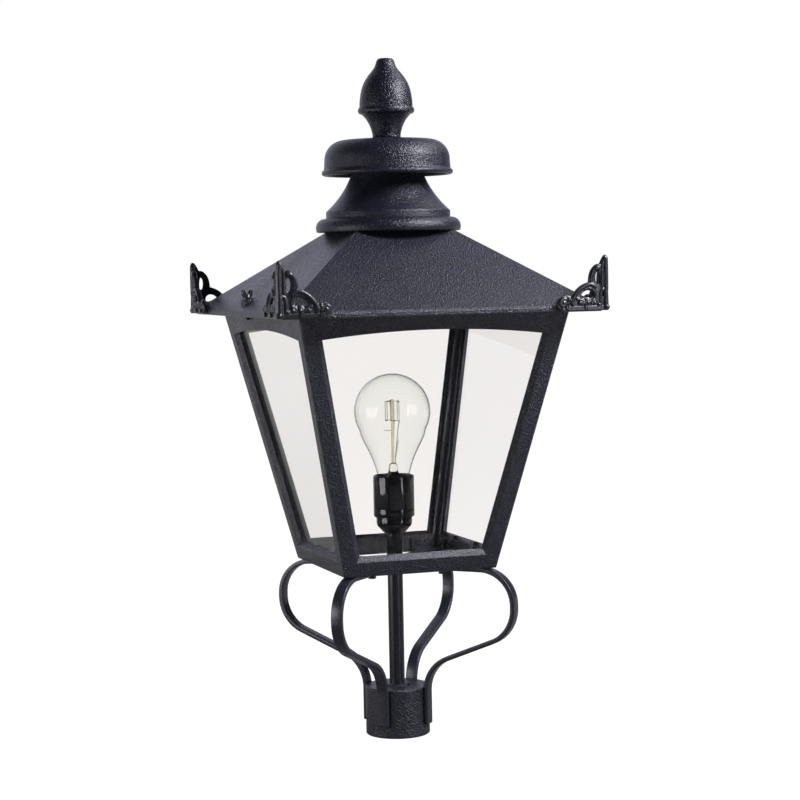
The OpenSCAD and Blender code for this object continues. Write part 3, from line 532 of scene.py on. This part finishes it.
def wing_parts():
    out = [Vector((0.3, -0.9))] + curve2([(0.3, 44), (0.5, 50), (2.4, 52.6), (5, 50.6), (7.0, 47.0), (8.6, 43.6)], 4)
    out += curve2([(8.6, 43.6), (11, 43.7), (14.1, 42.3), (17.4, 38.7), (19.3, 34.4), (20.2, 30), (20.4, 26.1)])[1:]
    out += curve2([(20.4, 26.1), (25.4, 24.5), (29.4, 22.5), (33.2, 19.6), (36.6, 15.9), (39.5, 12.3)])[1:]
    out += curve2([(39.5, 12.3), (42.4, 13.2), (46.3, 13.2), (50.8, 11.4), (54.0, 8.0), (54.4, 3.6), (51.7, 0.3), (49, -0.9)])[1:]
    slot = curve2([(8.9, 24.3), (8.6, 30), (9.6, 36.2), (11.5, 37.6), (13.5, 34.4), (13.9, 29), (12.9, 24.6), (11, 23.2), (8.9, 24.3)])[:-1]
    lens = curve2([(15.6, 11), (15.2, 14.2), (17.2, 17.6), (21.2, 19), (25.6, 18), (29.2, 15), (31.2, 11.6), (27.4, 10.6), (23, 11.4), (19, 10.2), (15.6, 11)])[:-1]
    eye = curve2([(4.6, 11.4), (4.2, 15), (5.6, 17.4), (7, 15), (6.6, 11.4), (4.6, 11.4)])[:-1]
    parts = [flat_plate([out, slot, lens, eye], 1.6, 0.6)]
    # spike: two ribs that meet at the tip, with a flute between them
    parts.append(rim([(2.1, 19), (2.0, 30), (2.1, 41), (2.7, 50.2)], 1.9, 5, 1.3))
    parts.append(rim([(6.6, 21), (6.4, 32), (6.4, 41), (4.7, 47.6), (3.2, 50.2)], 1.6, 5, 0.9))
    # tall lobe: heavy rolled crown, flutes down its side
    parts.append(rim([(9.0, 41.0), (11.4, 41.9), (14.0, 40.4), (16.6, 37.0), (18.1, 32.6), (18.7, 28), (18.6, 23.4)], 1.85, 5, 1.4))
    parts.append(rim([(9.2, 40.0), (12.0, 40.6), (14.2, 38.8)], 2.4, 5, 1.7))
    parts.append(rim([(15.8, 34.4), (16.0, 29), (15.4, 24.2)], 1.1, 5, 0.9))
    # lower arch: wide bright outer roll, a thinner one inside
    parts.append(rim([(13.2, 21.2), (16.8, 23.6), (20.8, 24.3), (25.0, 23.1), (29.2, 20.9), (33.0, 17.7), (36.4, 13.6), (39.0, 9.2), (40.0, 5.6)], 2.2, 5, 1.6))
    parts.append(rim([(14.6, 9.4), (13.6, 14.2), (15.8, 18.8), (20.6, 20.8), (25.6, 19.7)], 1.2, 5, 1.2))
    # leaf scrolls under the lens hole
    parts.append(rim([(34.4, 10.2), (31.4, 9.6), (28.6, 8.6), (26.8, 6.2), (28.8, 4.4)], 1.7, 5, 1.2))
    parts.append(rim([(24.9, 4.6), (24.2, 8.2), (21.8, 8.8), (19.6, 6.6)], 1.55, 5, 1.2))
    parts.append(rim([(17.4, 4.2), (17.8, 8.0), (15.2, 8.9), (13.2, 6.6)], 1.55, 5, 1.2))
    parts += [ball(wing_place(30.6, 6.0, 1.5), 2.2 * MM, (1.2, 1, 0.9)), ball(wing_place(22.2, 6.0, 1.6), 2.0 * MM),
              ball(wing_place(15.2, 6.0, 1.5), 1.9 * MM), ball(wing_place(10.4, 4.4, 1.4), 1.7 * MM)]
    # small hoop beside the corner
    parts.append(rim([(3.0, 3.2), (2.8, 10), (3.5, 16.6), (5.6, 19.4), (7.9, 16.8), (8.4, 10), (8.2, 3.2)], 1.45, 5, 1.1))
    # curled end: a closing spiral with bosses
    sp = []
    for i in range(26):
        a = math.radians(196 - i * 19)
        rr = 4.9 - i * 0.14
        sp.append((48.2 + rr * math.cos(a), 6.4 + rr * math.sin(a)))
    parts.append(rim(sp, 1.7, 2, 1.3))
    parts += [ball(wing_place(48.4, 6.5, 1.5), 2.2 * MM), ball(wing_place(42.8, 9.8, 1.8), 2.3 * MM), ball(wing_place(38.4, 5.0, 1.4), 2.0 * MM)]
    # base rail, as deep as the casting
    L = [Vector((0.4, -0.6)), Vector((49.6, -0.6)), Vector((50.2, 0.8)), Vector((49.6, 2.4)), Vector((0.4, 2.4))]
    parts.append(flat_plate([L], 2.1, 1.0))
    return parts


def ornament_mesh():
    wing = wing_parts()
    swap = [([Vector((v.y, v.x, v.z)) for v in p[0]], [tuple(reversed(q)) for q in p[1]]) for p in wing]
    c = -ORN_O + 2.4
    post = tube([Vector((c, c, ORN_Z + z)) * MM for z in (0.0, 8, 20, 34, 46, 51.5)],
                [v * MM for v in (3.2, 3.1, 2.7, 2.5, 2.1, 1.1)], 14)
    foot = ball(Vector((-ORN_O + 1.6, -ORN_O + 1.6, ORN_Z + 1.5)) * MM, 3.4 * MM, (1, 1, 0.72))
    me = mesh_of("ornament_raw", wing + swap + [post, foot])
    ob = bpy.data.objects.new("ornament_raw", me)
    scene.collection.objects.link(ob)
    rm = ob.modifiers.new("remesh", "REMESH")
    rm.mode = "VOXEL"
    rm.voxel_size = 0.00042
    rm.use_smooth_shade = True
    sm = ob.modifiers.new("smooth", "SMOOTH")
    sm.factor = 0.5
    sm.iterations = 7
    out = apply_modifiers(ob)
    for p in out.polygons:
        p.use_smooth = True
    return out


base_orn = ornament_mesh()
for k, place in enumerate(("front_left", "front_right", "rear_right", "rear_left")):
    me = base_orn.copy()
    me.name = "ornament_casting_" + place
    me.transform(Matrix.Rotation(math.radians(90 * k), 4, "Z"))
    new_piece("ornament_casting_" + place, me, "ornament_iron", "roof", ["corner_ornament_" + place])


# ---------------------------------------------------------------- chimney and finial
ROOF_TOP, CAP_TOP, COLLAR_R, NECK_R, CAP_R, CAP_Z = 525.0, 620.8, 75.1, 38.5, 67.9, 583.0


def V2(P):
    return [Vector(p) for p in P]


c_flare = (129.3, 620.6)
collar = V2([(42, ROOF_TOP), (COLLAR_R - 1.4, ROOF_TOP), (COLLAR_R - 0.9, ROOF_TOP + 0.4)])
collar += arc(COLLAR_R - 9.6, 529.5, 9.6, -22, 88, 24)
collar += V2([(64.9, 539.15), (64.4, 539.5), (64.32, 540.4), (64.3, 545.0), (64.15, 545.7), (63.8, 546.3)])
collar += arc(c_flare[0], c_flare[1], 99, 228.6, 204.1, 36)
collar += V2([(NECK_R - 1.2, 584), (NECK_R - 2.5, 590), (NECK_R - 3, 597), (NECK_R - 6, 597), (NECK_R - 5.5, 590), (NECK_R - 4.2, 584), (35.6, 580)])
collar += list(reversed(arc(c_flare[0], c_flare[1], 102.6, 227.6, 204.6, 24)))
collar += V2([(60.5, 544), (60.5, 529), (42, 529)])
bridge_v, bridge_f = [], []
bar = [(-46.6, -7), (46.6, -7), (46.6, 7), (-46.6, 7)]
for z in (560.2, 565.8):
    bridge_v += [Vector((x, y, z)) * MM for x, y in bar]
bridge_f = [(0, 1, 2, 3), (7, 6, 5, 4), (0, 4, 5, 1), (1, 5, 6, 2), (2, 6, 7, 3), (3, 7, 4, 0)]
cm = lathe("collar_turned", collar, 192, sharp=32)
bm = bmesh.new()
bm.from_mesh(cm)
tmp = mesh_of("bridge", [(bridge_v, bridge_f)])
bm.from_mesh(tmp)
bm.to_mesh(cm)
bm.free()
smooth_by_angle(cm, 32)
new_piece("collar_casting", cm, "cast_turned", "roof", ["chimney_collar"])

z = CAP_Z
cap = V2([(62.4, z + 1.2), (62.8, z + 0.4), (63.4, z)]) + arc(CAP_R - 2.9, z + 2.9, 2.9, -80, 60, 18)
cap += V2([(65.9, z + 6.0), (65.5, z + 6.6), (65.38, z + 7.6), (65.3, z + 9), (65.05, z + 12.5)])
cap += arc(44.5, 599, 20.3, 4, 84, 30)
cap += V2([(30, 620.3), (18, CAP_TOP), (3.1, CAP_TOP), (3.1, CAP_TOP - 3.6), (18, CAP_TOP - 3.6), (30, 616.8)])
cap += list(reversed(arc(44.5, 599, 17.2, 4, 84, 20))) + V2([(61.7, z + 16), (62.2, z + 9), (62.4, z + 6)])
new_piece("cap_casting", lathe("cap_turned", cap, 192, sharp=32), "cast_turned", "roof", ["chimney_cap"])

fin = V2([(3.06, CAP_TOP + 0.12), (13.4, CAP_TOP + 0.12), (14.2, 621.3)])
fin += [v.to_2d() for v in catmull([(14.7, 622.2, 0), (14.6, 624.5, 0), (15.6, 629, 0), (17.3, 634, 0), (20.4, 639.8, 0), (24.6, 645, 0)], 8)]
fin += [v.to_2d() for v in catmull([(25.4, 645.6, 0), (28.2, 646.7, 0), (29.2, 649.4, 0), (28.4, 652, 0), (27.6, 652.6, 0)], 7)]
fin += [v.to_2d() for v in catmull([(27.5, 653.4, 0), (27.4, 657, 0), (26.9, 662, 0), (26, 667.5, 0), (24.6, 673, 0), (22.2, 678.6, 0), (18.9, 684, 0),
                                   (15, 688.9, 0), (12, 692.8, 0), (10.3, 696.4, 0), (9.3, 699.6, 0), (7.4, 702.2, 0), (4, 702.9, 0), (0, 702.95, 0)], 6)]
fin += V2([(0, 642.0), (3.06, 642.0)])
new_piece("finial_casting", lathe("finial_turned", fin, 160, sharp=32), "cast_turned", "finial", ["finial"])


# ---------------------------------------------------------------- lampholder and stem
skirt = V2([(18.9, 228.6), (20.0, 228.6), (20.5, 228.8), (21.0, 229.3), (21.3, 230.0)])
skirt += V2([(21.3, 236.6), (21.15, 237.0), (21.15, 237.6), (21.3, 238.0), (21.3, 270.2), (21.15, 271.0), (20.7, 271.7), (20.1, 272.0), (19.6, 271.9), (19.25, 271.4), (19.2, 270), (19.2, 234), (18.9, 233.4)])
new_piece("holder_skirt", lathe("holder_skirt", skirt, 144, sharp=40), "lampholder_plastic", "lantern", ["lampholder_skirt"])
base = V2([(8.02, 210.7), (9.0, 210.9), (9.7, 211.2), (10.4, 211.6), (12.3, 213.1)]) + arc(10.1, 223.4, 8.5, -52, 0, 20)
base += V2([(18.6, 229.9), (18.3, 230.3), (16.4, 230.3), (16.4, 223), (11, 220.4), (8.02, 220.4)])
new_piece("holder_dome", lathe("holder_dome", base, 128, sharp=40), "lampholder_plastic", "lantern", ["lampholder_base"])


# ---------------------------------------------------------------- bulb
BZ, BR, WALL = 338.5, 39.6, 0.62


def bulb_profile(o):
    P = [(13.55 - o, 261.6, 0), (13.7 - o, 263, 0), (15.6 - o, 268.5, 0), (17.6 - o, 276, 0), (19.8 - o, 283.5, 0), (22.6 - o, 291, 0),
         (26.3 - o, 299, 0), (30.3 - o, 306.8, 0), (33.2 - o, 313.4, 0), (34.635 - o * 0.875, 319.3 + o * 0.485, 0)]
    P = [v.to_2d() for v in catmull(P, 6)]
    return P[:-1] + arc(0, BZ, BR - o, -29, 88.5, 64)


g = bulb_profile(0) + V2([(0, BZ + BR), (0, BZ + BR - WALL)]) + list(reversed(bulb_profile(WALL)))
new_piece("bulb_envelope", lathe("bulb_envelope", g, 160, sharp=60), "bulb_glass", "bulb", ["bulb_glass"])

mount = V2([(0, 262.3), (11.6, 262.3), (11.7, 262.8), (9.6, 264.6), (7.4, 267.2), (6.0, 271), (5.3, 275.5), (4.85, 280), (4.5, 282.2), (3.7, 283.7), (2.6, 284.3), (1.7, 284.7), (0, 284.8)])
new_piece("bulb_press_glass", lathe("bulb_press_glass", mount, 72, sharp=60), "press_glass", "bulb", ["bulb_mount"])
rod = V2([(0, 284.85), (1.7, 284.95), (1.5, 286.4), (1.46, 300), (1.5, 330), (1.46, 344.6), (1.7, 345.8), (2.15, 346.7), (2.3, 348.4), (2.1, 350.2), (1.4, 351.0), (0, 351.15)])
new_piece("bulb_rod_glass", lathe("bulb_rod_glass", rod, 56, sharp=60), "stem_glass", "bulb", [])

FIL_R, FIL_LOW, FIL_TOP, FIL_GAP = 7.4, 329.0, 349.0, 26.0


def fil_dir(i):
    a = math.radians(FIL_GAP + 30 + 60 * i)
    return Vector((math.cos(a), math.sin(a), 0))


Z = Vector((0, 0, 1))
SIDE_CAM = Vector((math.cos(math.radians(19.1)), -math.sin(math.radians(19.1)), 0))
wires = []
for i in (0, 5):
    e = fil_dir(i)
    P = [2.65 * e + Z * 284.6, 2.65 * e + Z * 290, 3.4 * e + Z * 297, 4.6 * e + Z * 308, 5.9 * e + Z * 320, 7.2 * e + Z * 327.8, 7.4 * e + Z * 329]
    wires.append(tube([p * MM for p in catmull(P, 8)], 0.34 * MM, 10))
    # a small clamped sleeve where the lead meets the filament
    wires.append(tube([p * MM for p in (7.1 * e + Z * 326.4, 7.3 * e + Z * 328.9)], 0.55 * MM, 10))
# one lead carries a crimped fuse wire down to the press
e = fil_dir(5)
side = e.cross(Z)
crimp = []
for k in range(40):
    f = k / 39
    c = e * (2.9 + 2.9 * f) + Z * (291 + 17 * f) + side * 0.55
    crimp.append((c + e * (0.8 * (1 if k % 2 else -1))) * MM)
new_piece("bulb_fuse_wire", mesh_of("bulb_fuse_wire", [tube(crimp, 0.34 * MM, 6)]), "black_fasteners", "bulb", [])
# a low side hook of the support wire
low = (SIDE_CAM * -1).normalized()
wires.append(tube([p * MM for p in catmull([low * 1.5 + Z * 318.9, low * 3.4 + Z * 318.5, low * 6.0 + Z * 318.4, low * 8.6 + Z * 319.0], 6)], 0.26 * MM, 8))
for i in range(5):
    e = fil_dir(i + 0.5)
    zc = FIL_LOW if i % 2 else FIL_TOP
    r0 = 1.4 if i % 2 else 2.1
    P = [e * r0 + Z * zc, e * 3.9 + Z * (zc + 0.3), e * 5.7 + Z * (zc + 0.1)]
    wires.append(tube([p * MM for p in catmull(P, 6)], 0.24 * MM, 8))
    loop = [e * 6.35 + (e * math.cos(q) + Z * math.sin(q)) * 0.62 + Z * zc for q in [math.radians(180 - 300 * k / 12) for k in range(13)]]
    wires.append(tube([p * MM for p in loop], 0.17 * MM, 6))
new_piece("bulb_support_wires", mesh_of("bulb_support_wires", wires), "lead_wire", "bulb", ["bulb_wires"])

zig = []
for i in range(6):
    e = fil_dir(i) * FIL_R
    ends = [e + Z * FIL_LOW, e + Z * FIL_TOP]
    zig += ends if i % 2 == 0 else ends[::-1]
coil = []
turn = 0.0
PITCH_MM = 0.80
for a, b in zip(zig, zig[1:]):
    d = b - a
    u = d.orthogonal().normalized()
    w = d.normalized().cross(u)
    steps = int(d.length / 0.10)
    for k in range(steps):
        ang = turn + k * 0.10 / PITCH_MM * 2 * math.pi
        coil.append((a + d * (k / steps) + (u * math.cos(ang) + w * math.sin(ang)) * 0.34) * MM)
    turn += steps * 0.10 / PITCH_MM * 2 * math.pi
new_piece("bulb_filament_coil", mesh_of("bulb_filament_coil", [tube(coil, 0.16 * MM, 5)]), "filament", "bulb", ["bulb_filament"])


# ---------------------------------------------------------------- materials of the CAD pieces
BLACK = {"arm_bolts", "arm_washers", "arm_nuts", "spider_screws", "socket_grub_screws", "arm_socket_screws", "ornament_screws",
         "hinge_pins", "hinge_rivets", "hinge_screws", "head_ring_screws", "pane_clips", "pane_clip_screws"}
slots = {s["node"]: s["material_slot"] for s in frame["record"]["subparts"]}
for name, ob in N.items():
    key = "black_fasteners" if name in BLACK else slots.get(name, "cast_body")
    ob.data.materials.clear()
    ob.data.materials.append(M[key])


# ---------------------------------------------------------------- floor, world and lights
def flat_dir(v):
    v = Vector((v.x, v.y, 0))
    return v.normalized()


BACK = flat_dir(cam_fwd)
SIDE = flat_dir(cam_right)


def seen(nt):
    """1 for what the camera sees, straight on or through glass; 0 for what lights the object."""
    lp = nt.nodes.new("ShaderNodeLightPath")
    a = nt.nodes.new("ShaderNodeMath")
    a.operation = "ADD"
    nt.links.new(lp.outputs["Diffuse Depth"], a.inputs[0])
    nt.links.new(lp.outputs["Glossy Depth"], a.inputs[1])
    m = nt.nodes.new("ShaderNodeMath")
    m.operation = "LESS_THAN"
    nt.links.new(a.outputs[0], m.inputs[0])
    m.inputs[1].default_value = 0.5
    return m.outputs[0]


world = bpy.data.worlds.new("studio")
scene.world = world
world.use_nodes = True
nt = world.node_tree
nt.nodes.clear()
wout = nt.nodes.new("ShaderNodeOutputWorld")
tc = nt.nodes.new("ShaderNodeTexCoord")
dot = nt.nodes.new("ShaderNodeVectorMath")
dot.operation = "DOT_PRODUCT"
dot.inputs[1].default_value = (BACK * 0.93 - SIDE * 0.36)
nt.links.new(tc.outputs["Generated"], dot.inputs[0])
mr = nt.nodes.new("ShaderNodeMapRange")
mr.interpolation_type = "SMOOTHSTEP"
for kk, vv in (("From Min", 0.45), ("From Max", 0.95), ("To Min", 0.012), ("To Max", 0.86)):
    mr.inputs[kk].default_value = vv
nt.links.new(dot.outputs["Value"], mr.inputs["Value"])
dim = nt.nodes.new("ShaderNodeBackground")
dim.inputs[0].default_value = (0.89, 0.91, 1.10, 1)
nt.links.new(mr.outputs[0], dim.inputs[1])
bright = nt.nodes.new("ShaderNodeBackground")
bright.inputs[0].default_value = (1, 1, 1, 1)
bright.inputs[1].default_value = 1.0
mx = nt.nodes.new("ShaderNodeMixShader")
nt.links.new(seen(nt), mx.inputs[0])
nt.links.new(dim.outputs[0], mx.inputs[1])
nt.links.new(bright.outputs[0], mx.inputs[2])
nt.links.new(mx.outputs[0], wout.inputs[0])

floor_me = mesh_of("floor", [([Vector((x, y, -0.0005)) for x, y in ((-14, -14), (14, -14), (14, 14), (-14, 14))], [(0, 1, 2, 3)])])
floor = bpy.data.objects.new("floor", floor_me)
scene.collection.objects.link(floor)
fm = bpy.data.materials.new("floor_pale")
fm.use_nodes = True
ft = fm.node_tree
ft.nodes.clear()
fo = ft.nodes.new("ShaderNodeOutputMaterial")
fd = ft.nodes.new("ShaderNodeBsdfDiffuse")
fd.inputs[0].default_value = (0.09, 0.09, 0.09, 1)
fe = ft.nodes.new("ShaderNodeEmission")
fe.inputs[0].default_value = (1, 1, 1, 1)
fe.inputs[1].default_value = 0.99
# towards the backdrop the floor gets lighter
fc = ft.nodes.new("ShaderNodeTexCoord")
fdot = ft.nodes.new("ShaderNodeVectorMath")
fdot.operation = "DOT_PRODUCT"
fdot.inputs[1].default_value = BACK
ft.links.new(fc.outputs["Object"], fdot.inputs[0])
fr = ft.nodes.new("ShaderNodeMapRange")
for kk, vv in (("From Min", -0.1), ("From Max", 1.6), ("To Min", 0.09), ("To Max", 0.60)):
    fr.inputs[kk].default_value = vv
ft.links.new(fdot.outputs["Value"], fr.inputs["Value"])
fz = ft.nodes.new("ShaderNodeEmission")
ft.links.new(fr.outputs["Result"], fz.inputs[1])
fmx = ft.nodes.new("ShaderNodeMixShader")
fad = ft.nodes.new("ShaderNodeAddShader")
ft.links.new(seen(ft), fmx.inputs[0])
ft.links.new(fz.outputs[0], fmx.inputs[1])
ft.links.new(fe.outputs[0], fmx.inputs[2])
ft.links.new(fd.outputs[0], fad.inputs[0])
ft.links.new(fmx.outputs[0], fad.inputs[1])
ft.links.new(fad.outputs[0], fo.inputs["Surface"])
floor_me.materials.append(fm)


def softbox(name, az, el, dist, w, h, watts, aim=0.36, colour=(0.985, 0.970, 1.08)):
    """A soft area light; az is degrees to the right of the photo's camera direction."""
    a, e = math.radians(az), math.radians(el)
    d = SIDE * (math.sin(a) * math.cos(e)) - BACK * (math.cos(a) * math.cos(e)) + Vector((0, 0, math.sin(e)))
    L = bpy.data.lights.new(name, "AREA")
    L.shape = "RECTANGLE"
    L.size, L.size_y = w, h
    L.energy = watts
    L.color = colour
    ob = bpy.data.objects.new(name, L)
    scene.collection.objects.link(ob)
    # the low lights are never a white card behind the lantern
    ob.visible_camera = False
    target = Vector((0, 0, aim))
    ob.location = target + d * dist
    ob.rotation_euler = (target - ob.location).to_track_quat("-Z", "Y").to_euler()
    return ob


softbox("key_right", 66, 36, 2.0, 0.46, 0.74, 80)
softbox("strip_right", 49, 0, 1.3, 0.10, 0.58, 2.6, 0.30)
softbox("fill_left", -66, 0, 1.25, 0.80, 0.58, 8, 0.30)
softbox("top_right", 116, 50, 1.3, 0.6, 0.6, 4.5, 0.42)
